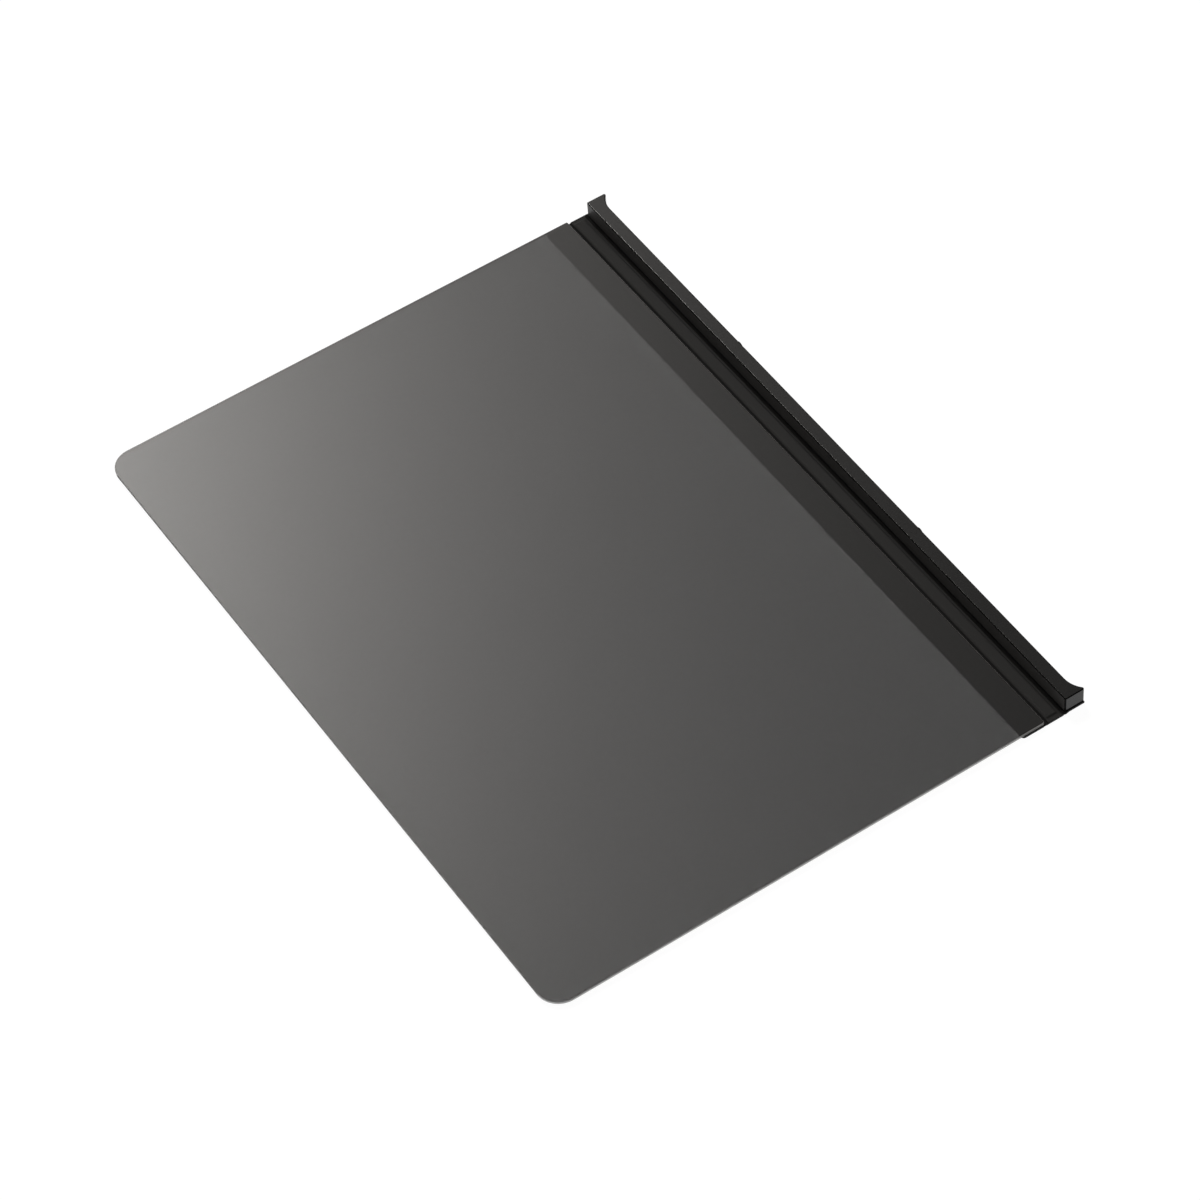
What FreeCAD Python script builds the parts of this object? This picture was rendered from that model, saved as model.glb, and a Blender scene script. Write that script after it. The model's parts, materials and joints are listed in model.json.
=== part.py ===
"""Flip-over privacy screen for an 11-inch tablet, as an assembly of separate pieces.

A tinted film is bonded to a soft flap, and the flap to a slim magnetic bar that clips to the tablet's
long edge. The flap folds along two lines, one at the foot of the bar and one at the edge of the film,
so that the film turns over the bar and lies on the display.

Frame: +X from the film's free edge towards the bar, +Y along the bar, +Z up. The origin is the centre of
the footprint, on the surface that the flap lies on. Sizes are in millimetres. The pose is open and flat.
"""

import FreeCAD, Part
import math
import os
import Sketcher

SIZES = {
    # film: front sheet, tinted louvre core and back sheet, bonded together
    "film_width": 171.65,
    "film_length": 253.6,
    "film_corner": 7.5,
    "film_hinge_corner": 0.5,
    "face_sheet": 0.35,
    "core_sheet": 0.40,
    "core_inset": 0.05,
    # flap: two bonded skins, with a stiffening board between the two folds
    "flap_length": 254.0,
    "flap_corner": 1.2,
    "flap_overlap": 8.0,
    "skin": 0.40,
    "tape": 0.10,
    "tape_inset": 0.3,
    "board": 0.25,
    "board_width": 3.0,
    "board_length": 250.0,
    "rib_margin": 0.4,
    "rib_edge": 0.2,
    # folds: both axes lie in the upper skin
    "fold_height": 0.74,
    "fold_web": 0.50,
    "fold_web_base": 0.15,
    "root_setback": 0.42,
    "film_setback": 0.16,
    "link_gap": 0.50,
    "root_lip": 0.20,
    "tab_gap": 0.35,
    "closed_gap": 0.15,
    # bar: moulded housing with flared ends that hug the tablet's rounded corners
    "bar_width": 4.6,
    "bar_length": 253.0,
    "bar_height": 5.55,
    "flare_depth": 2.4,
    "flare_radius": 8.5,
    "tip_radius": 0.5,
    "bar_corner": 0.45,
    "bar_edge": 0.32,
    # inside the bar, measured from the wall that faces the film
    "inner_wall": 0.80,
    "outer_wall": 0.60,
    "roof": 1.00,
    "strip": 0.40,
    "strip_length": 240.0,
    "play": 0.05,
    "yoke": 0.50,
    "yoke_length": 236.0,
    "magnet_count": 10,
    "magnet_length": 19.0,
    "peg_pitch": 95.2,
    "peg_height": 3.3,
    "peg_radius": 1.6,
    "peg_proud": 1.0,
    "peg_edge": 0.25,
    "peg_shank_radius": 1.8,
    "peg_shank": 2.0,
}

doc = FreeCAD.newDocument("PrivacyScreen")
sheet = doc.addObject("Spreadsheet::Sheet", "Sizes")
for row, (alias, value) in enumerate(SIZES.items(), start=1):
    sheet.set(f"A{row}", alias)
    sheet.set(f"B{row}", str(value))
    sheet.setAlias(f"B{row}", alias)
doc.recompute()


def cell(alias):
    """A length of the sheet, written for an expression."""
    return f"Sizes.{alias}"


def total(*terms):
    """A bracketed sum of expression terms."""
    return "(" + " + ".join(terms) + ")"


def less(first, *rest):
    """The first expression term less all the others."""
    return "(" + " - ".join((first,) + rest) + ")"


def half(term):
    """Half of an expression term."""
    return f"({term} / 2)"


# Heights of the stack, from the surface that the flap lies on.
SKIN_TOP = total(cell("skin"), cell("skin"))
FLAP_TOP = total(SKIN_TOP, cell("tape"))
FILM_THICK = total(cell("face_sheet"), cell("core_sheet"), cell("face_sheet"))
FILM_TOP = total(FLAP_TOP, FILM_THICK)
BAR_TOP = total(FLAP_TOP, cell("bar_height"))
BOARD_BASE = cell("skin")

# Stations across the part. The two fold axes are as far apart as the closed film needs to clear the bar.
FOLD_PITCH = less(total(BAR_TOP, cell("closed_gap"), FILM_TOP), cell("fold_height"), cell("fold_height"))
FREE_WIDTH = total(cell("root_setback"), FOLD_PITCH, cell("film_setback"))
OVERALL = total(cell("film_width"), FREE_WIDTH, cell("bar_width"), cell("flare_depth"))
X_FREE_EDGE = f"(-{OVERALL} / 2)"
X_FILM_EDGE = total(X_FREE_EDGE, cell("film_width"))
X_TAB_START = less(X_FILM_EDGE, cell("flap_overlap"))
X_FILM_FOLD = total(X_FILM_EDGE, cell("film_setback"))
X_ROOT_FOLD = total(X_FILM_FOLD, FOLD_PITCH)
X_WALL = total(X_ROOT_FOLD, cell("root_setback"))
X_TAB_END = less(X_FILM_FOLD, cell("tab_gap"))
X_LINK_START = total(X_FILM_FOLD, cell("link_gap"))
X_LINK_END = less(X_ROOT_FOLD, cell("link_gap"))
X_ROOT_START = less(X_WALL, cell("root_lip"))
X_LINK_MIDDLE = half(total(X_LINK_START, X_LINK_END))
LINK_WIDTH = less(X_LINK_END, X_LINK_START)

# Inside the bar, from its wall that faces the film.
CHAMBER = less(cell("bar_width"), cell("inner_wall"), cell("outer_wall"))
CHAMBER_TOP = less(cell("bar_height"), cell("roof"))
CHAMBER_HEIGHT = less(CHAMBER_TOP, cell("strip"))
MAGNET_THICK = less(CHAMBER, cell("yoke"), cell("play"), cell("play"))
MAGNET_PITCH = f"({cell('peg_pitch')} / 4)"


def check(condition, message):
    if not condition:
        raise RuntimeError(message)


def new_body(label):
    body = doc.addObject("PartDesign::Body", label)
    body.Label = label
    return body


def plane(body, role):
    """One of the body's own origin planes, such as XY_Plane."""
    return next(item for item in body.Origin.OriginFeatures if item.Role == role)


def new_sketch(body, name, role="XY_Plane"):
    sketch = body.newObject("Sketcher::SketchObject", name)
    sketch.AttachmentSupport = [(plane(body, role), "")]
    sketch.MapMode = "FlatFace"
    return sketch


def dimension(sketch, name, kind, *refs_and_value, formula):
    """A named driving constraint whose value follows a formula of the sheet."""
    index = sketch.addConstraint(Sketcher.Constraint(kind, *refs_and_value))
    sketch.renameConstraint(index, name)
    sketch.setExpression(f"Constraints.{name}", formula)


def rectangle(sketch, width, depth):
    """A rectangle centred on the sketch's origin."""
    corners = [(-1.0, -1.0), (1.0, -1.0), (1.0, 1.0), (-1.0, 1.0)]
    points = [FreeCAD.Vector(x, y, 0) for x, y in corners]
    lines = [sketch.addGeometry(Part.LineSegment(points[i], points[(i + 1) % 4])) for i in range(4)]
    for i in range(4):
        sketch.addConstraint(Sketcher.Constraint("Coincident", lines[i], 2, lines[(i + 1) % 4], 1))
        sketch.addConstraint(Sketcher.Constraint("Vertical" if i % 2 else "Horizontal", lines[i]))
    sketch.addConstraint(Sketcher.Constraint("Symmetric", lines[0], 1, lines[1], 2, -1, 1))
    dimension(sketch, "width", "DistanceX", lines[0], 1, lines[0], 2, 2.0, formula=width)
    dimension(sketch, "depth", "DistanceY", lines[1], 1, lines[1], 2, 2.0, formula=depth)


def pad(body, sketch, height, name="Pad"):
    feature = body.newObject("PartDesign::Pad", name)
    feature.Profile = sketch
    feature.setExpression("Length", height)
    return feature


def pocket_up(body, sketch, depth, name):
    """A pocket cut upwards from a sketch on the underside."""
    feature = body.newObject("PartDesign::Pocket", name)
    feature.Profile = sketch
    feature.Reversed = True
    feature.setExpression("Length", depth)
    return feature


def fillet(body, base, wanted, radius, name):
    """Rounds the edges of the base feature that the test 'wanted' picks."""
    doc.recompute()
    names = [f"Edge{i}" for i, edge in enumerate(base.Shape.Edges, start=1) if wanted(edge)]
    check(names, f"{body.Label}: no edge to round for {name}")
    feature = body.newObject("PartDesign::Fillet", name)
    feature.Base = (base, names)
    feature.setExpression("Radius", radius)
    return feature


def is_upright(edge):
    low, high = edge.BoundBox.ZMin, edge.BoundBox.ZMax
    return high - low > 1e-6 and edge.BoundBox.XLength < 1e-6 and edge.BoundBox.YLength < 1e-6


def lies_at(edge, height):
    return abs(edge.BoundBox.ZMin - height) < 1e-6 and abs(edge.BoundBox.ZMax - height) < 1e-6


def place(item, x, y, z):
    for axis, formula in (("x", x), ("y", y), ("z", z)):
        item.setExpression(f"Placement.Base.{axis}", formula)


def plate(label, start, end, length, base, thickness, corners=()):
    """A flat sheet from start to end across the part. Corners are (side, radius) with side -1 or +1 in X."""
    body = new_body(label)
    sketch = new_sketch(body, f"{label}_outline")
    rectangle(sketch, less(end, start), length)
    last = pad(body, sketch, thickness)
    for side, radius in corners:
        name = "Round_left" if side < 0 else "Round_right"
        last = fillet(body, last, lambda edge: is_upright(edge) and edge.BoundBox.XMin * side > 0, radius, name)
    place(body, half(total(start, end)), "0", base)


def bar_outline(sketch, length, wide):
    """The bar's plan: a straight wall on the Y axis, flared tips, and a straight seat for the tablet."""
    width, flare = SIZES["bar_width"], SIZES["flare_depth"]
    tip, arc, small = SIZES["tip_radius"], SIZES["flare_radius"], SIZES["bar_corner"]
    end = SIZES["bar_length"] / 2
    reach = math.sqrt((arc + tip) ** 2 - (arc - flare + tip) ** 2)
    slope = math.atan2(reach, arc - flare + tip)
    tip_x, tip_y = width + flare - tip, end - tip
    seat_y = tip_y - reach

    def arc_of(x, y, radius, first, last):
        circle = Part.Circle(FreeCAD.Vector(x, y, 0), FreeCAD.Vector(0, 0, 1), radius)
        return sketch.addGeometry(Part.ArcOfCircle(circle, first, last))

    def line_of(x1, y1, x2, y2):
        return sketch.addGeometry(Part.LineSegment(FreeCAD.Vector(x1, y1, 0), FreeCAD.Vector(x2, y2, 0)))

    def turned(side, first, last):
        return (first, last) if side > 0 else (-last, -first)

    def join(first, first_end, second, second_end):
        sketch.addConstraint(Sketcher.Constraint("Tangent", first, first_end, second, second_end))

    # Each end is drawn for the far side and turned over for the near one, which swaps an arc's two ends.
    wall = line_of(0, end - small, 0, -end + small)
    seat = line_of(width, -seat_y, width, seat_y)
    parts = {}
    for side in (1, -1):
        corner_turn = turned(side, math.pi / 2, math.pi)
        tip_turn = turned(side, -slope, math.pi / 2)
        flare_turn = turned(side, math.pi - slope, math.pi)
        parts["corner", side] = arc_of(small, side * (end - small), small, *corner_turn)
        parts["face", side] = line_of(small, side * end, tip_x, side * end)
        parts["tip", side] = arc_of(tip_x, side * tip_y, tip, *tip_turn)
        parts["flare", side] = arc_of(width + arc, side * seat_y, arc, *flare_turn)
        low, high = (1, 2) if side > 0 else (2, 1)
        join(wall, low, parts["corner", side], high)
        join(parts["corner", side], low, parts["face", side], 1)
        join(parts["face", side], 2, parts["tip", side], high)
        join(parts["tip", side], low, parts["flare", side], low)
        join(parts["flare", side], high, seat, high)
        sketch.addConstraint(Sketcher.Constraint("Horizontal", parts["face", side]))
    for kind in ("corner", "tip", "flare"):
        sketch.addConstraint(Sketcher.Constraint("Equal", parts[kind, 1], parts[kind, -1]))
    sketch.addConstraint(Sketcher.Constraint("Vertical", seat))
    sketch.addConstraint(Sketcher.Constraint("Symmetric", wall, 1, wall, 2, -1))
    sketch.addConstraint(Sketcher.Constraint("Vertical", parts["tip", 1], 3, parts["tip", -1], 3))
    sketch.addConstraint(Sketcher.Constraint("PointOnObject", wall, 1, -2))
    tip_place = less(total(wide, cell("flare_depth")), cell("tip_radius"))
    dimension(sketch, "corner", "Radius", parts["corner", 1], small, formula=cell("bar_corner"))
    dimension(sketch, "tip", "Radius", parts["tip", 1], tip, formula=cell("tip_radius"))
    dimension(sketch, "flare", "Radius", parts["flare", 1], arc, formula=cell("flare_radius"))
    dimension(sketch, "seat", "DistanceX", -1, 1, seat, 2, width, formula=wide)
    dimension(sketch, "tip_place", "DistanceX", -1, 1, parts["tip", 1], 3, tip_x, formula=tip_place)
    ends = (parts["face", -1], 1, parts["face", 1], 1)
    dimension(sketch, "span", "DistanceY", *ends, 2 * end, formula=length)


def bar_shaped_plate(label, base, thickness):
    """A sheet under the bar, with the bar's own outline, which reaches a little way towards the fold."""
    body = new_body(label)
    sketch = new_sketch(body, f"{label}_outline")
    bar_outline(sketch, cell("flap_length"), total(cell("bar_width"), cell("root_lip")))
    pad(body, sketch, thickness)
    place(body, X_ROOT_START, "0", base)


# ---- the bar -----------------------------------------------------------------------------------------
def make_housing():
    """Moulded housing: solid over the magnets, open below for the yoke, the magnets and the strip."""
    body = new_body("bar_housing")
    outline = new_sketch(body, "housing_outline")
    bar_outline(outline, cell("bar_length"), cell("bar_width"))
    block = pad(body, outline, cell("bar_height"))
    doc.recompute()
    solid_volume = block.Shape.Volume
    top = block.Shape.BoundBox.ZMax
    fillet(body, block, lambda edge: lies_at(edge, top), cell("bar_edge"), "Top_edge")

    strip_seat = new_sketch(body, "strip_seat")
    rectangle(strip_seat, CHAMBER, cell("strip_length"))
    middle = total(cell("inner_wall"), half(CHAMBER))
    strip_seat.setExpression("AttachmentOffset.Base.x", middle)
    pocket_up(body, strip_seat, cell("strip"), "Strip_seat")

    yoke_slot = new_sketch(body, "yoke_slot")
    rectangle(yoke_slot, total(cell("yoke"), cell("play")), cell("yoke_length"))
    yoke_middle = total(cell("inner_wall"), half(total(cell("yoke"), cell("play"))))
    yoke_slot.setExpression("AttachmentOffset.Base.x", yoke_middle)
    pocket_up(body, yoke_slot, CHAMBER_TOP, "Yoke_slot")

    magnet_slot = new_sketch(body, "magnet_slot")
    rectangle(magnet_slot, CHAMBER, total(cell("magnet_length"), cell("play"), cell("play")))
    magnet_slot.setExpression("AttachmentOffset.Base.x", middle)
    reach = f"({MAGNET_PITCH} * ({cell('magnet_count')} - 1))"
    magnet_slot.setExpression("AttachmentOffset.Base.y", f"(-{reach} / 2)")
    first_slot = pocket_up(body, magnet_slot, CHAMBER_TOP, "Magnet_slot")
    row = body.newObject("PartDesign::LinearPattern", "Magnet_slots")
    row.Originals = [first_slot]
    row.Direction = (magnet_slot, ["V_Axis"])
    row.setExpression("Length", reach)
    row.Occurrences = int(SIZES["magnet_count"])
    body.Tip = row

    bores = new_sketch(body, "peg_bores", "YZ_Plane")
    bores.setExpression("AttachmentOffset.Base.z", cell("bar_width"))
    circles = []
    for side in (-1, 1):
        centre = FreeCAD.Vector(side * SIZES["peg_pitch"] / 2, SIZES["peg_height"], 0)
        circle = Part.Circle(centre, FreeCAD.Vector(0, 0, 1), SIZES["peg_shank_radius"])
        circles.append(bores.addGeometry(circle))
    bores.addConstraint(Sketcher.Constraint("Equal", *circles))
    bores.addConstraint(Sketcher.Constraint("Symmetric", circles[0], 3, circles[1], 3, -2))
    dimension(bores, "radius", "Radius", circles[0], 1.0, formula=cell("peg_shank_radius"))
    pitch = (circles[0], 3, circles[1], 3)
    dimension(bores, "pitch", "DistanceX", *pitch, SIZES["peg_pitch"], formula=cell("peg_pitch"))
    height = less(cell("peg_height"), FLAP_TOP)
    dimension(bores, "height", "DistanceY", -1, 1, circles[0], 3, 2.0, formula=height)
    bore = body.newObject("PartDesign::Pocket", "Peg_bores")
    bore.Profile = bores
    bore.setExpression("Length", cell("peg_shank"))
    place(body, X_WALL, "0", FLAP_TOP)
    doc.recompute()
    removed = solid_volume - body.Shape.Volume
    check(removed > 0.3 * solid_volume, "the housing's pockets cut nothing")
    check(bore.Shape.Volume < row.Shape.Volume - 1.0, "the peg bores cut nothing")


def make_box(label, width, depth, height, x, y, z):
    """A plain rectangular piece, centred on x and y, standing on z."""
    box = doc.addObject("Part::Box", label)
    box.Label = label
    for name, formula in (("Length", width), ("Width", depth), ("Height", height)):
        box.setExpression(name, formula)
    place(box, less(x, half(width)), less(y, half(depth)), z)


def make_bar_inside():
    """Closing strip, steel yoke along the inner wall, and the row of block magnets in front of it."""
    chamber_x = total(X_WALL, cell("inner_wall"), half(CHAMBER))
    strip_length = less(cell("strip_length"), cell("play"), cell("play"))
    make_box("bar_closing_strip", CHAMBER, strip_length, cell("strip"), chamber_x, "0", FLAP_TOP)
    inside = total(FLAP_TOP, cell("strip"))
    tall = less(CHAMBER_HEIGHT, cell("play"))
    yoke_x = total(X_WALL, cell("inner_wall"), half(cell("yoke")))
    yoke_length = less(cell("yoke_length"), cell("play"), cell("play"))
    make_box("magnet_yoke", cell("yoke"), yoke_length, tall, yoke_x, "0", inside)
    magnet_x = total(X_WALL, cell("inner_wall"), cell("yoke"), cell("play"), half(MAGNET_THICK))
    for number in range(int(SIZES["magnet_count"])):
        steps = number - (SIZES["magnet_count"] - 1) / 2
        magnet_y = f"({steps} * {MAGNET_PITCH})"
        label = f"magnet_{number + 1:02d}"
        make_box(label, MAGNET_THICK, cell("magnet_length"), tall, magnet_x, magnet_y, inside)


def make_peg(label, side):
    """Locating peg: a shank pressed into the housing, flush with its face, and a thinner nose."""
    body = new_body(label)
    sketch = new_sketch(body, f"{label}_profile", "XZ_Plane")
    shank, nose = SIZES["peg_shank_radius"], SIZES["peg_radius"]
    back, front = -SIZES["peg_shank"], SIZES["peg_proud"]
    outline = [(back, 0), (front, 0), (front, nose), (0, nose), (0, shank), (back, shank)]
    points = [FreeCAD.Vector(x, y, 0) for x, y in outline]
    lines = []
    for i, point in enumerate(points):
        lines.append(sketch.addGeometry(Part.LineSegment(point, points[(i + 1) % len(points)])))
    for i, line in enumerate(lines):
        sketch.addConstraint(Sketcher.Constraint("Coincident", line, 2, lines[(i + 1) % len(lines)], 1))
        sketch.addConstraint(Sketcher.Constraint("Vertical" if i % 2 else "Horizontal", line))
    sketch.addConstraint(Sketcher.Constraint("PointOnObject", lines[0], 1, -1))
    sketch.addConstraint(Sketcher.Constraint("PointOnObject", lines[3], 1, -2))
    dimension(sketch, "shank", "DistanceX", lines[0], 1, -1, 1, -back, formula=cell("peg_shank"))
    dimension(sketch, "proud", "DistanceX", -1, 1, lines[0], 2, front, formula=cell("peg_proud"))
    dimension(sketch, "nose", "DistanceY", -1, 1, lines[2], 1, nose, formula=cell("peg_radius"))
    dimension(sketch, "thick", "DistanceY", -1, 1, lines[4], 1, shank, formula=cell("peg_shank_radius"))
    turn = body.newObject("PartDesign::Revolution", "Turned")
    turn.Profile = sketch
    turn.ReferenceAxis = (sketch, ["H_Axis"])
    turn.Angle = 360.0
    fillet(
        body,
        turn,
        lambda edge: abs(edge.BoundBox.XMin - front) < 1e-6 and edge.Curve.TypeId == "Part::GeomCircle",
        cell("peg_edge"),
        "Nose_edge",
    )
    place(body, total(X_WALL, cell("bar_width")), f"({side} * {cell('peg_pitch')} / 2)", cell("peg_height"))


# ---- the flap ----------------------------------------------------------------------------------------
def make_link():
    """The stiff part of the flap between the folds: a board between the skins, which shows as a low rib."""
    plate("link_lower_skin", X_LINK_START, X_LINK_END, cell("flap_length"), "0", cell("skin"))
    board_start = less(X_LINK_MIDDLE, half(cell("board_width")))
    board_end = total(X_LINK_MIDDLE, half(cell("board_width")))
    board_round = half(half(cell("board_width")))
    corners = ((-1, board_round), (1, board_round))
    board_plan = (board_start, board_end, cell("board_length"))
    plate("link_board", *board_plan, BOARD_BASE, cell("board"), corners)

    body = new_body("link_upper_skin")
    outline = new_sketch(body, "link_upper_skin_outline")
    rectangle(outline, LINK_WIDTH, cell("flap_length"))
    pad(body, outline, cell("skin"))
    rib = new_sketch(body, "rib_outline")
    rib_width = total(cell("board_width"), cell("rib_margin"))
    rib_length = total(cell("board_length"), cell("rib_margin"))
    rectangle(rib, rib_width, rib_length)
    raised = pad(body, rib, total(cell("skin"), cell("board")), "Rib")
    last = fillet(body, raised, is_rib_corner, board_round, "Rib_corners")
    doc.recompute()
    top = last.Shape.BoundBox.ZMax
    fillet(body, last, lambda edge: lies_at(edge, top), cell("rib_edge"), "Rib_edge")
    recess = new_sketch(body, "board_recess")
    rectangle(recess, cell("board_width"), cell("board_length"))
    cut = pocket_up(body, recess, cell("board"), "Board_recess")
    place(body, X_LINK_MIDDLE, "0", BOARD_BASE)
    doc.recompute()
    check(cut.Shape.Volume < cut.BaseFeature.Shape.Volume - 1.0, "the board's recess cut nothing")


def is_rib_corner(edge):
    """An upright edge of the raised rib, which starts above the flat skin."""
    return is_upright(edge) and edge.BoundBox.ZMin > 0.5 * SIZES["skin"]


def make_flap():
    tab = (X_TAB_START, X_TAB_END, cell("flap_length"))
    tab_corner = ((-1, cell("flap_corner")),)
    plate("tab_lower_skin", *tab, "0", cell("skin"), tab_corner)
    plate("tab_upper_skin", *tab, cell("skin"), cell("skin"), tab_corner)
    bar_shaped_plate("root_lower_skin", "0", cell("skin"))
    bar_shaped_plate("root_upper_skin", cell("skin"), cell("skin"))
    web = (cell("fold_web_base"), cell("fold_web"))
    plate("film_fold", X_TAB_END, X_LINK_START, cell("flap_length"), *web)
    plate("root_fold", X_LINK_END, X_ROOT_START, cell("flap_length"), *web)
    make_link()


# ---- the film ----------------------------------------------------------------------------------------
def make_film():
    """Front and back sheets with a tinted core a hair smaller, bonded to the flap by a strip of tape."""
    corners = ((-1, cell("film_corner")), (1, cell("film_hinge_corner")))
    sheet_span = (X_FREE_EDGE, X_FILM_EDGE, cell("film_length"))
    plate("film_back_sheet", *sheet_span, FLAP_TOP, cell("face_sheet"), corners)
    inset = cell("core_inset")
    core_corner = ((-1, less(cell("film_corner"), inset)), (1, less(cell("film_hinge_corner"), inset)))
    core_span = (total(X_FREE_EDGE, inset), less(X_FILM_EDGE, inset))
    core_length = less(cell("film_length"), inset, inset)
    core_base = total(FLAP_TOP, cell("face_sheet"))
    plate("film_louvre_core", *core_span, core_length, core_base, cell("core_sheet"), core_corner)
    front_base = total(core_base, cell("core_sheet"))
    plate("film_front_sheet", *sheet_span, front_base, cell("face_sheet"), corners)


def make_tapes():
    """Adhesive strips, film to flap and bar to flap, set back from the edges."""
    inset = cell("tape_inset")
    start, end = total(X_TAB_START, inset), less(X_TAB_END, inset)
    plate("film_tape", start, end, less(cell("film_length"), inset, inset), SKIN_TOP, cell("tape"))
    start = total(X_WALL, inset)
    end = total(X_WALL, less(cell("bar_width"), inset))
    plate("bar_tape", start, end, less(cell("bar_length"), inset, inset), SKIN_TOP, cell("tape"))


make_housing()
make_bar_inside()
make_peg("locating_peg_near", -1)
make_peg("locating_peg_far", 1)
make_flap()
make_film()
make_tapes()
doc.recompute()

pieces = [
    item
    for item in doc.Objects
    if item.TypeId in ("PartDesign::Body", "Part::Box") and not item.getParentGeoFeatureGroup()
]
for item in doc.Objects:
    broken = [state for state in item.State if state in ("Invalid", "Error")]
    check(not broken, f"{item.Label}: {broken}")
    if item.TypeId == "Sketcher::SketchObject":
        check(item.FullyConstrained, f"{item.Label}: not fully constrained")
for piece in pieces:
    shape = piece.Shape
    check(not shape.isNull() and shape.isValid() and shape.Volume > 0, f"{piece.Label}: bad shape")

os.makedirs("parts", exist_ok=True)
for piece in pieces:
    piece.Shape.exportStep(f"parts/{piece.Label}.step")
whole = FreeCAD.BoundBox()
for piece in pieces:
    whole.add(piece.Shape.BoundBox)
    box = piece.Shape.BoundBox
    print(
        f"{piece.Label:20s} volume {piece.Shape.Volume:9.2f}  x {box.XMin:8.3f} {box.XMax:8.3f}"
        f"  y {box.YMin:8.3f} {box.YMax:8.3f}  z {box.ZMin:6.3f} {box.ZMax:6.3f}"
    )
print(len(pieces), "pieces; overall", whole)
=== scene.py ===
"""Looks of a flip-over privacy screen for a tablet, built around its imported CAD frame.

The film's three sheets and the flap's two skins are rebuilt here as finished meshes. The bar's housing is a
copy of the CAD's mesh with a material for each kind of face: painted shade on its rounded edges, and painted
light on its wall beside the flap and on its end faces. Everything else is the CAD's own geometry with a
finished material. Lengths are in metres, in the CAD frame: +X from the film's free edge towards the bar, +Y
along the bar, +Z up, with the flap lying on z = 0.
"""

import bpy
import json
import math
from mathutils import Matrix, Vector


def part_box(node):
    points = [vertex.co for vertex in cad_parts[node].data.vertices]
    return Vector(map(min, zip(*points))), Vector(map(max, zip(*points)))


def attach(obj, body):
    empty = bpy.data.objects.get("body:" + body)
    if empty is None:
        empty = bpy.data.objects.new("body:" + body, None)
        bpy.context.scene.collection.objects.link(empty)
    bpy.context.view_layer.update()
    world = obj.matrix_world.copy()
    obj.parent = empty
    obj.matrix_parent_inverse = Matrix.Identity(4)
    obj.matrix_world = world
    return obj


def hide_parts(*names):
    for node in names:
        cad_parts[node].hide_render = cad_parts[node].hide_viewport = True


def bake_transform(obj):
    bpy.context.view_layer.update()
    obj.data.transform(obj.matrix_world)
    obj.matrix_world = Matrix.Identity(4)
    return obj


MM = 0.001

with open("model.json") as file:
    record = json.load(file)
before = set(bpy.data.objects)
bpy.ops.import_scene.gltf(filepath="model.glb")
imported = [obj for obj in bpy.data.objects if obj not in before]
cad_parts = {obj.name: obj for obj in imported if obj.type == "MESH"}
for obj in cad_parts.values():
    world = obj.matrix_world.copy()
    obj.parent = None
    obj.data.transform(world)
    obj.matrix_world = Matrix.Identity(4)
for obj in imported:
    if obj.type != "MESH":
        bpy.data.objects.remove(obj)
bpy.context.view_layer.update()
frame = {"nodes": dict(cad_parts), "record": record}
BOX = {node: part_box(node) for node in frame["nodes"]}

# Camera: looks down over the film's near free corner, turned a little about its own axis.
CAMERA_TARGET = Vector((-0.35, -11.4, 2.1)) * MM
CAMERA_DISTANCE = 1322.4 * MM
CAMERA_AZIMUTH = math.radians(29.19)
CAMERA_ELEVATION = math.radians(50.35)
CAMERA_ROLL = math.radians(-5.65)
CAMERA_LENS = 132.4
CAMERA_SENSOR = 36.0

# The studio, as parts of the sky. The film mirrors a soft box whose light falls off across one long edge,
# and a small low light, the glint, beyond the film's far free corner. Lengths are on a sphere of radius 1.
BOX_CENTRE = Vector((0.311, 0.557, 0.770))
BOX_RISE = 0.063
BOX_TILT = math.radians(-41.9)
BOX_EDGE = -0.192
BOX_FADE = 0.030
BOX_SHARE = 1.45
BOX_REACH = 0.20
BOX_LENGTH = 0.55
BOX_END_FADE = 0.2
BOX_LIGHT = 28.6
SKY_LIGHT = 0.128
GLINT_CENTRE = Vector((-0.683, 0.726, 0.062))
GLINT_NARROW = math.cos(math.radians(2))
GLINT_WIDE = math.cos(math.radians(5.4))
GLINT_LIGHT = 15.6
LIGHT_TINT = (1.03, 1.0, 0.965)

WHITE = (1.0, 1.0, 1.0, 1.0)
FLOOR_HALF_SIZE = 6.0
FLOOR_DROP = 0.02 * MM
FLOOR_COLOUR = (0.08, 0.08, 0.08, 1.0)
FLOOR_ROUGHNESS = 0.9
FLOOR_SHINE = 0.1
FLOOR_GLOW = 0.97


# ---- stage ---------------------------------------------------------------------------------------------
def add_camera():
    """Perspective camera with no shift and no depth of field."""
    back = Vector(
        (
            -math.sin(CAMERA_AZIMUTH) * math.cos(CAMERA_ELEVATION),
            -math.cos(CAMERA_AZIMUTH) * math.cos(CAMERA_ELEVATION),
            math.sin(CAMERA_ELEVATION),
        )
    )
    data = bpy.data.cameras.new("camera")
    data.lens = CAMERA_LENS
    data.sensor_width = CAMERA_SENSOR
    data.clip_start = 0.01
    camera = bpy.data.objects.new("camera", data)
    bpy.context.scene.collection.objects.link(camera)
    turn = back.to_track_quat("Z", "Y").to_matrix().to_4x4()
    place = Matrix.Translation(CAMERA_TARGET + back * CAMERA_DISTANCE)
    camera.matrix_world = place @ turn @ Matrix.Rotation(CAMERA_ROLL, 4, "Z")
    bpy.context.scene.camera = camera


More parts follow.
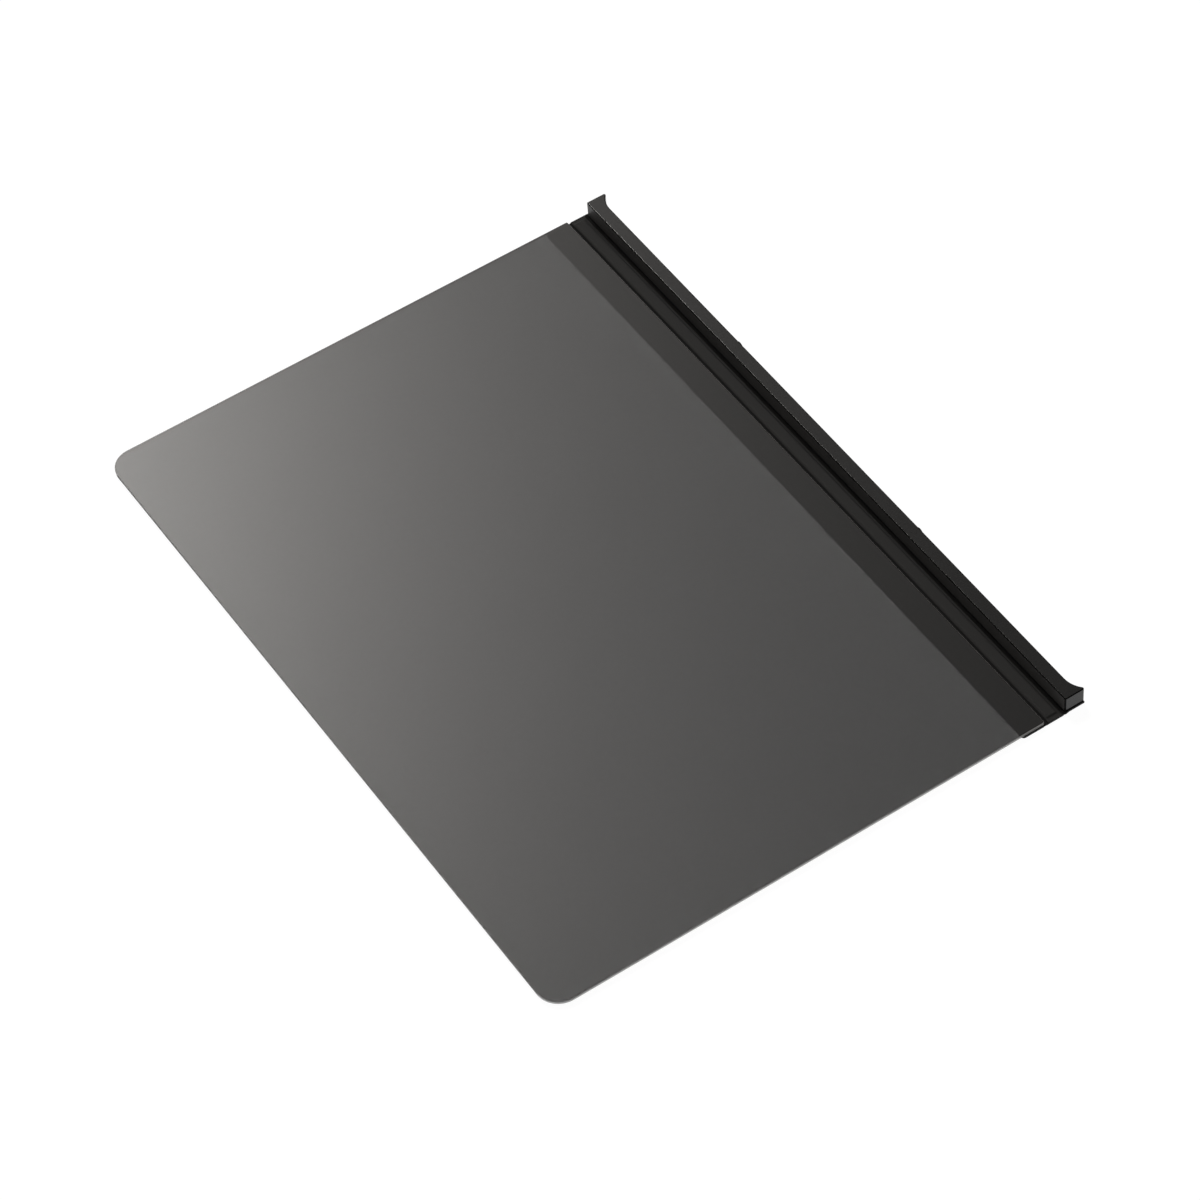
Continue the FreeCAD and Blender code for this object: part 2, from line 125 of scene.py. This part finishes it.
def math_node(nodes, links, operation, first, second=None, clamp=False):
    """A Math node fed by sockets or plain numbers. Returns its output."""
    node = nodes.new("ShaderNodeMath")
    node.operation = operation
    node.use_clamp = clamp
    for socket, value in zip(node.inputs, (first, second)):
        if value is None:
            continue
        if isinstance(value, (int, float)):
            socket.default_value = value
        else:
            links.new(value, socket)
    return node.outputs[0]


def along(nodes, links, direction, axis):
    """The part of a direction that lies along an axis."""
    node = nodes.new("ShaderNodeVectorMath")
    node.operation = "DOT_PRODUCT"
    links.new(direction, node.inputs[0])
    node.inputs[1].default_value = axis
    return node.outputs["Value"]


def add_sky():
    """Soft studio light: a dim even dome, a soft box high behind the bar, and the low glint."""
    world = bpy.data.worlds.new("studio")
    bpy.context.scene.world = world
    world.use_nodes = True
    nodes, links = world.node_tree.nodes, world.node_tree.links
    nodes.clear()
    direction = nodes.new("ShaderNodeTexCoord").outputs["Generated"]
    wide = Vector((math.cos(BOX_TILT), math.sin(BOX_TILT), BOX_RISE)).normalized()
    centre = BOX_CENTRE.normalized()
    tall = centre.cross(wide).normalized()
    across = along(nodes, links, direction, wide)
    up = along(nodes, links, direction, tall)
    front = along(nodes, links, direction, centre)
    # brightness grows as the square of the distance from the fading edge, and then stays level
    rise = math_node(nodes, links, "SUBTRACT", BOX_EDGE, across)
    rise = math_node(nodes, links, "MAXIMUM", rise, 0.0)
    rise = math_node(nodes, links, "DIVIDE", rise, BOX_FADE)
    rise = math_node(nodes, links, "POWER", rise, 2.0)
    rise = math_node(nodes, links, "MINIMUM", rise, BOX_SHARE)
    # the box ends softly on its other three sides
    ends = math_node(nodes, links, "ABSOLUTE", up)
    ends = math_node(nodes, links, "SUBTRACT", BOX_REACH, ends)
    ends = math_node(nodes, links, "DIVIDE", ends, BOX_END_FADE, clamp=True)
    far = math_node(nodes, links, "ADD", across, BOX_LENGTH)
    far = math_node(nodes, links, "DIVIDE", far, BOX_END_FADE, clamp=True)
    ahead = math_node(nodes, links, "GREATER_THAN", front, 0.0)
    box = math_node(nodes, links, "MULTIPLY", rise, ends)
    box = math_node(nodes, links, "MULTIPLY", box, far)
    box = math_node(nodes, links, "MULTIPLY", box, ahead)
    box = math_node(nodes, links, "MULTIPLY", box, BOX_LIGHT)
    # the glint, which brightens the film's far free corner
    glint = along(nodes, links, direction, GLINT_CENTRE.normalized())
    glint = math_node(nodes, links, "SUBTRACT", glint, GLINT_WIDE)
    glint = math_node(nodes, links, "DIVIDE", glint, GLINT_NARROW - GLINT_WIDE, clamp=True)
    glint = math_node(nodes, links, "MULTIPLY", glint, GLINT_LIGHT)
    light = math_node(nodes, links, "ADD", box, glint)
    light = math_node(nodes, links, "ADD", light, SKY_LIGHT)
    studio = nodes.new("ShaderNodeBackground")
    studio.inputs["Color"].default_value = (*LIGHT_TINT, 1.0)
    links.new(light, studio.inputs["Strength"])
    # what the camera sees past the table is a plain white wall
    wall = nodes.new("ShaderNodeBackground")
    wall.inputs["Strength"].default_value = 1.0
    wall.inputs["Color"].default_value = WHITE
    seen = nodes.new("ShaderNodeLightPath").outputs["Is Camera Ray"]
    either = nodes.new("ShaderNodeMixShader")
    links.new(seen, either.inputs[0])
    links.new(studio.outputs[0], either.inputs[1])
    links.new(wall.outputs[0], either.inputs[2])
    output = nodes.new("ShaderNodeOutputWorld")
    links.new(either.outputs[0], output.inputs["Surface"])


def add_floor():
    """A wide, white table that glows of itself, so that it shows no shadow."""
    size = FLOOR_HALF_SIZE
    mesh = bpy.data.meshes.new("floor")
    corners = [(-size, -size, 0), (size, -size, 0), (size, size, 0), (-size, size, 0)]
    mesh.from_pydata(corners, [], [(0, 1, 2, 3)])
    floor = bpy.data.objects.new("floor", mesh)
    bpy.context.scene.collection.objects.link(floor)
    floor.location.z = -FLOOR_DROP
    material = bpy.data.materials.new("pale_table")
    material.use_nodes = True
    shader = material.node_tree.nodes["Principled BSDF"]
    shader.inputs["Base Color"].default_value = FLOOR_COLOUR
    shader.inputs["Roughness"].default_value = FLOOR_ROUGHNESS
    shader.inputs["Specular IOR Level"].default_value = FLOOR_SHINE
    shader.inputs["Emission Color"].default_value = WHITE
    shader.inputs["Emission Strength"].default_value = FLOOR_GLOW
    mesh.materials.append(material)


# ---- materials -----------------------------------------------------------------------------------------
# Two thresholds of the noise, between which the colour runs from its dark to its light end.
NOISE_DARK = 0.3
NOISE_LIGHT = 0.7
NOISE_DETAIL = 3.0

# Spots per millimetre of each family's noise.
BAR_GRAIN = 3.0
FLAP_GRAIN = 4.0
FILM_GRAIN = 0.6
RIM_GRAIN = 4.0

# How strongly each family of surfaces shines. The film's faces also let light through. Its upper face carries
# most of the tint, and is rough enough for the studio's lights to show as a soft gradient.
FILM_SHINE = 0.313
FILM_FACE = {"Alpha": 0.95, "Specular_IOR_Level": FILM_SHINE}
FILM_CLEAR = {"Alpha": 0.03, "Specular_IOR_Level": FILM_SHINE}
FILM_TINT = {"Alpha": 0.052, "Specular_IOR_Level": FILM_SHINE}
GLOSS = {"Specular_IOR_Level": 0.553}
SATIN = {"Specular_IOR_Level": 0.28}
DULL = {"Specular_IOR_Level": 0.05}
LEATHER = {"Specular_IOR_Level": 0.22}
# The grooves' low shine goes with their painted shade.
CREASE = {"Specular_IOR_Level": 0.10}
METAL = {"Metallic": 1.0}


materials = {}


def surface(name, dark, light, rough, grain, bump=0.0, bump_depth=0.02, **settings):
    """Files a Principled material in materials. Its colour and roughness vary with a fine noise.

    dark and light are the two ends of the colour, rough the two ends of the roughness, grain the noise's
    spots per millimetre, bump the strength of an optional relief and bump_depth its height in millimetres.
    """
    material = bpy.data.materials.new(name)
    material.use_nodes = True
    nodes, links = material.node_tree.nodes, material.node_tree.links
    shader = nodes["Principled BSDF"]
    place = nodes.new("ShaderNodeTexCoord").outputs["Object"]
    noise = nodes.new("ShaderNodeTexNoise")
    noise.inputs["Scale"].default_value = grain / MM
    noise.inputs["Detail"].default_value = NOISE_DETAIL
    links.new(place, noise.inputs["Vector"])
    ramp = nodes.new("ShaderNodeValToRGB")
    ramp.color_ramp.elements[0].position = NOISE_DARK
    ramp.color_ramp.elements[0].color = (*dark, 1.0)
    ramp.color_ramp.elements[1].position = NOISE_LIGHT
    ramp.color_ramp.elements[1].color = (*light, 1.0)
    links.new(noise.outputs["Fac"], ramp.inputs["Fac"])
    links.new(ramp.outputs["Color"], shader.inputs["Base Color"])
    spread = nodes.new("ShaderNodeMapRange")
    spread.inputs["To Min"].default_value = rough[0]
    spread.inputs["To Max"].default_value = rough[1]
    links.new(noise.outputs["Fac"], spread.inputs["Value"])
    links.new(spread.outputs["Result"], shader.inputs["Roughness"])
    if bump:
        relief = nodes.new("ShaderNodeBump")
        relief.inputs["Strength"].default_value = bump
        relief.inputs["Distance"].default_value = bump_depth * MM
        links.new(noise.outputs["Fac"], relief.inputs["Height"])
        links.new(relief.outputs["Normal"], shader.inputs["Normal"])
    for socket, value in settings.items():
        shader.inputs[socket.replace("_", " ")].default_value = value
    materials[name] = material


def grey(value, warmth=0.02):
    """A nearly neutral colour, a touch warm."""
    return (value * (1 + warmth), value, value * (1 - warmth))


def bar_material(name, dark, light, rough, depth, shine, bump=0.05):
    """Moulded black plastic, with a very fine texture."""
    surface(name, grey(dark), grey(light), rough, BAR_GRAIN, bump, depth, **shine)


def flap_material(name, dark, light, rough, shine, *relief):
    """Soft black sheet. relief is its bump's strength and depth, where it has one."""
    surface(name, grey(dark), grey(light), rough, FLAP_GRAIN, *relief, **shine)


def film_material(name, shine):
    """One see-through face of the film."""
    surface(name, grey(0.008), grey(0.009), (0.276, 0.284), FILM_GRAIN, **shine)


def rim_material(name, dark, light, rough, shine):
    """The cut edge of a sheet of film."""
    surface(name, grey(dark), grey(light), rough, RIM_GRAIN, 0.1, **shine)


def metal_material(name, dark, light, rough, grain, bump):
    """Plated metal."""
    surface(name, dark, light, rough, grain, bump, **METAL)


def make_materials():
    """Every material that the record's slots and the finished pieces use."""
    bar_material("bar_plastic", 0.0034, 0.0040, (0.20, 0.24), 0.004, GLOSS)
    # The end faces are a shade lighter than the top and less shiny: painted light.
    bar_material("bar_end_painted_light", 0.005, 0.006, (0.20, 0.24), 0.004, SATIN)
    # The wall beside the flap is many times lighter than the rest of the bar: painted light.
    bar_material("bar_inner_painted_light", 0.060, 0.078, (0.40, 0.50), 0.006, SATIN, bump=0.08)
    # The rounded edges are darker and duller than the faces: painted shade, standing in for dark reflections
    # along the edges.
    bar_material("bar_edge", 0.001, 0.003, (0.55, 0.65), 0.004, DULL)
    bar_material("peg_plastic", 0.005, 0.008, (0.22, 0.28), 0.004, SATIN)
    flap_material("flap_skin", 0.010, 0.014, (0.60, 0.75), LEATHER, 0.30, 0.012)
    # The pressed grooves' skin is darker and duller than the plain skin: painted shade in the creases.
    flap_material("flap_crease_painted_shade", 0.007, 0.010, (0.65, 0.80), CREASE)
    flap_material("flap_lining", 0.010, 0.014, (0.60, 0.75), LEATHER)
    metal_material("yoke_steel", grey(0.34), grey(0.46), (0.28, 0.42), 1.5, 0.1)
    metal_material("magnet_plate", grey(0.55, 0.03), grey(0.62, 0.03), (0.15, 0.25), 1.0, 0.05)
    surface("tape", grey(0.02), grey(0.045), (0.5, 0.7), 3.0)
    surface("board", grey(0.14), grey(0.22), (0.7, 0.85), 5.0, 0.3)
    film_material("film_face", FILM_FACE)
    film_material("film_clear", FILM_CLEAR)
    film_material("film_tint", FILM_TINT)
    rim_material("film_clear_rim", 0.19, 0.23, (0.25, 0.35), {})
    rim_material("film_tint_rim", 0.12, 0.15, (0.3, 0.4), {})
    # The rim along the free edge is nearly black, far darker than the other rims: painted shade on the side
    # away from the light.
    rim_material("film_free_rim_painted_shade", 0.010, 0.015, (0.5, 0.6), DULL)


# ---- mesh helpers --------------------------------------------------------------------------------------
# A share of a step that a span may be over without needing one step more.
SLACK = 1e-6


def new_piece(name, mesh, looks):
    """A piece made from a finished mesh, with the given materials."""
    for material in looks:
        mesh.materials.append(material)
    piece = bpy.data.objects.new(name, mesh)
    bpy.context.scene.collection.objects.link(piece)
    return piece


def smooth_step(value, start, end):
    """Rises smoothly from 0 at start to 1 at end."""
    t = min(max((value - start) / (end - start), 0.0), 1.0)
    return t * t * (3 - 2 * t)


def stations(*spans):
    """Places along an axis. Each span is (start, end, largest step), and spans follow one another."""
    places = [spans[0][0]]
    for start, end, step in spans:
        count = max(1, math.ceil((end - start) / step - SLACK))
        places += [start + (end - start) * (i + 1) / count for i in range(count)]
    return places


# ---- film ----------------------------------------------------------------------------------------------
FILM_CORNER = 7.5 * MM
FILM_HINGE_CORNER = 0.5 * MM
OUTER_EDGE = 0.10 * MM
INNER_EDGE = 0.02 * MM
SHEET_GAP = 0.01 * MM
CORNER_STEPS = 16
SQUARE_ON = 0.99


def rounded_rectangle(low, high, left_radius, right_radius, steps=CORNER_STEPS):
    """Points in order round a rectangle whose two left corners and two right corners have their own radii."""
    corners = (
        (high.x, high.y, right_radius),
        (low.x, high.y, left_radius),
        (low.x, low.y, left_radius),
        (high.x, low.y, right_radius),
    )
    middle = (low + high) / 2
    points = []
    for quarter, (x, y, radius) in enumerate(corners):
        centre_x = x - math.copysign(radius, x - middle.x)
        centre_y = y - math.copysign(radius, y - middle.y)
        for step in range(steps + 1):
            angle = (quarter + step / steps) * math.pi / 2
            points.append((centre_x + radius * math.cos(angle), centre_y + radius * math.sin(angle)))
    return points


def make_sheet(name, node, edges, gaps, looks):
    """One sheet of the film, a closed plate with chamfered edges.

    edges are the chamfers and gaps the clearances to the CAD sheet's own faces, each as (below, above). looks
    are the materials of its upper face, its rim, its rim along the free edge with painted shade, and its
    lower face.
    """
    low, high = BOX[node]
    bottom, top = low.z + gaps[0], high.z - gaps[1]
    levels = ((bottom, edges[0]), (bottom + edges[0], 0.0), (top - edges[1], 0.0), (top, edges[1]))
    vertices = []
    for z, inset in levels:
        shrink = Vector((inset, inset, 0))
        ring = rounded_rectangle(low + shrink, high - shrink, FILM_CORNER - inset, FILM_HINGE_CORNER - inset)
        vertices += [(x, y, z) for x, y in ring]
    count = len(ring)
    faces = [tuple(range(count - 1, -1, -1)), tuple(range(3 * count, 4 * count))]
    for level in range(3):
        start = level * count
        for i in range(count):
            j = (i + 1) % count
            faces.append((start + i, start + j, start + j + count, start + i + count))
    mesh = bpy.data.meshes.new(name)
    mesh.from_pydata(vertices, [], faces)
    for face in mesh.polygons:
        if len(face.vertices) == count:
            face.material_index = 0 if face.normal.z > 0 else 3
        else:
            # the rim along the free edge takes the painted shade
            face.material_index = 2 if face.normal.x < -SQUARE_ON else 1
    sheet = new_piece(name, mesh, looks)
    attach(sheet, "screen")
    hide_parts(node)


def make_film():
    """The film's three sheets, a hair apart so that no two faces lie in one plane."""
    rims = [materials["film_clear_rim"], materials["film_free_rim_painted_shade"]]
    tint_rims = [materials["film_tint_rim"], materials["film_free_rim_painted_shade"]]
    clear, tint = materials["film_clear"], materials["film_tint"]
    thin, top = (INNER_EDGE, INNER_EDGE), (INNER_EDGE, OUTER_EDGE)
    gaps, top_gaps = (SHEET_GAP, SHEET_GAP), (SHEET_GAP, 0)
    front_looks = [materials["film_face"], *rims, clear]
    make_sheet("film_front", "film_front_sheet", top, top_gaps, front_looks)
    make_sheet("film_core", "film_louvre_core", thin, gaps, [tint, *tint_rims, tint])
    make_sheet("film_back", "film_back_sheet", thin, gaps, [clear, *rims, clear])


# ---- flap ----------------------------------------------------------------------------------------------
# The clearance between the two skins, the step of the finest mesh, and the skins' turned edges.
SKIN_GAP = 0.01 * MM
FINE = 0.12 * MM
END_FINE = 1.5 * FINE
END_ZONE = 3.0 * MM
ROW_STEP = 4.0 * MM
TAB_STEP = 2.0 * MM
LINK_STEP = 0.4 * MM
ROOT_STEP = 0.8 * MM
SKIN_EDGE = 0.10 * MM
EDGE_STEPS = 3

# The grooves pressed in at the two fold lines. GROOVE_SIDE is how wide a groove's sloping side is.
GROOVE_DEPTH = 0.15 * MM
GROOVE_SIDE = 0.45 * MM
GROOVE_END = 2.5 * MM
FILM_SIDE_DEPTH = 0.38 * MM
FILM_SIDE_REACH = 0.45 * MM
BAR_SIDE_DEPTH = 0.42 * MM
WEB_SHARE = 0.3
# How deep in a groove the skin must lie to take the painted crease shade.
CREASE_SHARE = 0.45

# The pad over the stiffening board, and the seam where the tab's and the root's pieces meet.
PAD_SLOPE = 0.80 * MM
PAD_END_SLOPE = 0.70 * MM
SEAM_FROM_FOLD = 0.65 * MM

# The tab's free corners, and how far the root's edges are drawn in under the bar, over BAR_EDGE_RUN.
TAB_CORNER = 1.2 * MM
BAR_EDGE_INSET = 0.20 * MM
BAR_EDGE_RUN = 1.5 * MM
WALL_ZONE = 0.6 * MM

# The bar's outline: how far its straight face is from the pegs' inner ends, the radius of its flares, and the
# straight tip beyond each flare.
FACE_FROM_PEG = 2.0 * MM
FLARE_RADIUS = 8.5 * MM
FLARE_TIP = 0.7 * MM


def dip(x, start, end):
    """1 between start and end, with smooth sides that reach GROOVE_SIDE beyond them."""
    return smooth_step(x, start - GROOVE_SIDE, start) - smooth_step(x, end, end + GROOVE_SIDE)


def under_groove(x):
    """How far the lower skin is pressed in along the two fold lines."""
    folds = (BOX["film_fold"], BOX["root_fold"])
    half = GROOVE_SIDE / 2
    return GROOVE_DEPTH * sum(dip(x, low.x + half, high.x - half) for low, high in folds)


def upper_groove(x, y=0.0):
    """How far the upper skin is pressed in.

    Beside the film the dip is wide. Beside the bar it is deep, and runs out at both ends of the flap.
    """
    film_low, film_high = BOX["film_fold"]
    root_low, root_high = BOX["root_fold"]
    beside_film = dip(x, film_low.x, film_high.x + FILM_SIDE_REACH)
    beside_bar = dip(x, root_low.x, root_high.x)
    beside_bar *= smooth_step(root_high.y - abs(y), 0.0, GROOVE_END)
    return FILM_SIDE_DEPTH * beside_film + BAR_SIDE_DEPTH * beside_bar


def takes_crease_shade(x):
    """Whether a place lies deep enough in one of the two pressed grooves to take the painted crease shade."""
    low, high = BOX["link_board"]
    film_side = x < low.x and upper_groove(x) > CREASE_SHARE * FILM_SIDE_DEPTH
    bar_side = x > high.x and upper_groove(x) > CREASE_SHARE * BAR_SIDE_DEPTH
    return film_side or bar_side


def pad(x, y):
    """The low pad that the stiffening board raises in the upper skin."""
    low, high = BOX["link_board"]
    across = smooth_step(x, low.x - PAD_SLOPE, low.x) - smooth_step(x, high.x, high.x + PAD_SLOPE)
    lengthwise = smooth_step(high.y - abs(y), -PAD_END_SLOPE, 0.0)
    return (high.z - low.z) * across * lengthwise


def flare_reach(y):
    """How far out the bar's outer face is at a place along the bar: straight, then a flare at each end."""
    high = BOX["bar_housing"][1]
    straight = BOX["locating_peg_near"][0].x + FACE_FROM_PEG
    depth = high.x - straight
    run = math.sqrt(FLARE_RADIUS**2 - (FLARE_RADIUS - depth) ** 2)
    into_flare = max(0.0, abs(y) - (high.y - FLARE_TIP - run))
    if into_flare >= run:
        return high.x
    return straight + FLARE_RADIUS - math.sqrt(FLARE_RADIUS**2 - into_flare**2)


def outer_ring(wide, deep):
    """The grid points round the outside of a grid, in order."""
    ring = [i * deep for i in range(wide)]
    ring += [(wide - 1) * deep + j for j in range(1, deep)]
    ring += [i * deep + deep - 1 for i in range(wide - 2, -1, -1)]
    ring += [j for j in range(deep - 2, 0, -1)]
    return ring


def grid_faces(wide, deep, sides):
    """The faces of two grids, one above the other, joined round the outside by their sides."""
    layer = wide * deep
    faces = []
    for i in range(wide - 1):
        for j in range(deep - 1):
            a = i * deep + j
            b = a + deep
            c = b + 1
            d = a + 1
            faces.append((a + layer, b + layer, c + layer, d + layer))
            faces.append((d, c, b, a))
    for a, b in sides:
        faces.append((a, b, b + layer, a + layer))
    return faces


def mark_edges(mesh, sides, layer, seam_x):
    """Rounds the mesh's outer edges, except along the seam, whose edges are sharp."""
    outer = {frozenset((a + up, b + up)) for a, b in sides for up in (0, layer)}
    weights = mesh.attributes.new("bevel_weight_edge", "FLOAT", "EDGE")
    sharp = mesh.attributes.new("sharp_edge", "BOOLEAN", "EDGE")
    for edge in mesh.edges:
        if frozenset(edge.vertices) not in outer:
            continue
        on_seam = all(abs(mesh.vertices[v].co.x - seam_x) < FINE / 10 for v in edge.vertices)
        weights.data[edge.index].value = 0.0 if on_seam else 1.0
        sharp.data[edge.index].value = on_seam


def skin_grid(name, xs, ys, shape, top, bottom, looks, seam_x):
    """A closed skin over a grid of places, with rounded outer edges except where it meets the next at seam_x.

    shape(x, y) moves a grid point in the plane, and top and bottom give its two heights. looks are the
    materials of the plain skin and of the pressed grooves, which carry painted shade.
    """
    vertices = []
    for height in (bottom, top):
        for x in xs:
            for y in ys:
                px, py = shape(x, y)
                vertices.append((px, py, height(px, py)))
    ring = outer_ring(len(xs), len(ys))
    sides = list(zip(ring, ring[1:] + ring[:1]))
    mesh = bpy.data.meshes.new(name)
    mesh.from_pydata(vertices, [], grid_faces(len(xs), len(ys), sides))
    for face in mesh.polygons:
        face.use_smooth = True
        # faces deep in a groove take the darker material, painted shade
        face.material_index = 1 if takes_crease_shade(face.center.x) else 0
    mark_edges(mesh, sides, len(xs) * len(ys), seam_x)
    skin = new_piece(name, mesh, looks)
    edge = skin.modifiers.new("turned_edge", "BEVEL")
    edge.width = SKIN_EDGE
    edge.segments = EDGE_STEPS
    edge.limit_method = "WEIGHT"
    return skin


def skin_rows(half_width):
    """Places along the bar, close together near both ends."""
    inner = half_width - END_ZONE
    near = (-half_width, -inner, END_FINE)
    middle = (-inner, inner, ROW_STEP)
    far = (inner, half_width, END_FINE)
    return stations(near, middle, far)


def skin_middle():
    """The height at which the lower and the upper skin meet."""
    return (BOX["tab_lower_skin"][1].z + BOX["tab_upper_skin"][0].z) / 2


# The four heights of the skins at a place.
def upper_top(x, y):
    return BOX["tab_upper_skin"][1].z - upper_groove(x, y) + pad(x, y)


def upper_bottom(x, y):
    return skin_middle() + SKIN_GAP / 2 - WEB_SHARE * upper_groove(x, y) + pad(x, y)


def lower_top(x, y):
    return skin_middle() - SKIN_GAP / 2 - WEB_SHARE * upper_groove(x, y)


def lower_bottom(x, y):
    return under_groove(x)


def tab_shape(x, y):
    """Rounds the tab's two free corners in plan."""
    low, high = BOX["tab_upper_skin"]
    inset = TAB_CORNER - (x - low.x)
    if inset > 0:
        cut = TAB_CORNER - math.sqrt(max(TAB_CORNER**2 - inset**2, 0.0))
        y = y * (high.y - cut) / high.y
    return x, y


def root_shape(x, y):
    """Makes the root follow the bar's flared outline, a little in from its edges."""
    wall = BOX["bar_housing"][0].x
    high = BOX["root_upper_skin"][1]
    if x <= wall:
        return x, y
    share = (x - wall) / (high.x - wall)
    narrowing = smooth_step(x, wall, wall + BAR_EDGE_RUN) * BAR_EDGE_INSET / high.y
    return wall + share * (flare_reach(y) - BAR_EDGE_INSET / 2 - wall), y * (1 - narrowing)


def make_tab(seam, ys):
    """The two skins from the free edge over the film's fold to the seam."""
    low = BOX["tab_upper_skin"][0]
    fold_low, fold_high = BOX["film_fold"]
    xs = stations(
        (low.x, low.x + TAB_CORNER, FINE),
        (low.x + TAB_CORNER, fold_low.x - GROOVE_SIDE, TAB_STEP),
        (fold_low.x - GROOVE_SIDE, seam, FINE),
    )
    looks = [materials["flap_lining"], materials["flap_crease_painted_shade"]]
    upper = skin_grid("tab_upper", xs, ys, tab_shape, upper_top, upper_bottom, looks, seam)
    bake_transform(upper)
    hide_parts("tab_upper_skin", "film_fold")
    lower = skin_grid("tab_lower", xs, ys, tab_shape, lower_top, lower_bottom, looks, seam)
    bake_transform(lower)
    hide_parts("tab_lower_skin")


def make_root(seam, ys):
    """The two skins from the seam over the board to the bar's outer face."""
    high = BOX["root_upper_skin"][1]
    board_low, board_high = BOX["link_board"]
    wall_end = BOX["bar_housing"][0].x + WALL_ZONE
    xs = stations(
        (seam, board_low.x, FINE),
        (board_low.x, board_high.x, LINK_STEP),
        (board_high.x, wall_end, FINE),
        (wall_end, high.x, ROOT_STEP),
    )
    looks = [materials["flap_skin"], materials["flap_crease_painted_shade"]]
    upper = skin_grid("root_upper", xs, ys, root_shape, upper_top, upper_bottom, looks, seam)
    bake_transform(upper)
    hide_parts("root_upper_skin", "link_upper_skin", "root_fold")
    lower = skin_grid("root_lower", xs, ys, root_shape, lower_top, lower_bottom, looks, seam)
    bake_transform(lower)
    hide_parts("root_lower_skin", "link_lower_skin")


def make_flap():
    """The flap's two skins, each in two pieces that meet inside the stiffened link."""
    seam = BOX["film_fold"][1].x + SEAM_FROM_FOLD
    ys = skin_rows(BOX["tab_upper_skin"][1].y)
    make_tab(seam, ys)
    make_root(seam, ys)


# ---- bar -----------------------------------------------------------------------------------------------
# Thresholds that sort the housing's faces into the smooth faces, the rounded edges with painted shade, and
# the wall and end faces with painted light.
FLAT_FACE = 0.985
UPRIGHT = 0.01
FLARE_EDGE = 0.3 * MM


def housing_look(face, outer, tip):
    """Which material a face has: 0 smooth, 1 rounded edge (painted shade), 2 the wall beside the flap, 3 an
    end face (both painted light).
    """
    if face.normal.x < -FLAT_FACE:
        return 2
    if abs(face.normal.y) > FLAT_FACE:
        return 3
    flat = max(abs(part) for part in face.normal) > FLAT_FACE
    on_flare = abs(face.normal.z) < UPRIGHT and outer < face.center.x < tip - FLARE_EDGE
    return 0 if flat or on_flare else 1


def make_housing():
    """The bar's housing: the CAD's own shape, with painted shade on its rounded edges and painted light on
    its wall and ends.
    """
    node = "bar_housing"
    mesh = frame["nodes"][node].data.copy()
    mesh.materials.clear()
    looks = [materials[name] for name in ("bar_plastic", "bar_edge", "bar_inner_painted_light", "bar_end_painted_light")]
    housing = new_piece("housing", mesh, looks)
    for face in mesh.polygons:
        face.material_index = housing_look(face, flare_reach(0), BOX[node][1].x)
    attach(housing, "bar")
    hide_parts(node)


# ---- assembly ------------------------------------------------------------------------------------------
def dress(node, material):
    """Gives a CAD node its finished material."""
    piece = frame["nodes"][node]
    piece.data.materials.clear()
    piece.data.materials.append(material)


make_materials()
add_camera()
add_sky()
add_floor()
for subpart in frame["record"]["subparts"]:
    dress(subpart["node"], materials[subpart["material_slot"]])
make_film()
make_flap()
make_housing()

bpy.context.scene.view_settings.view_transform = "Standard"
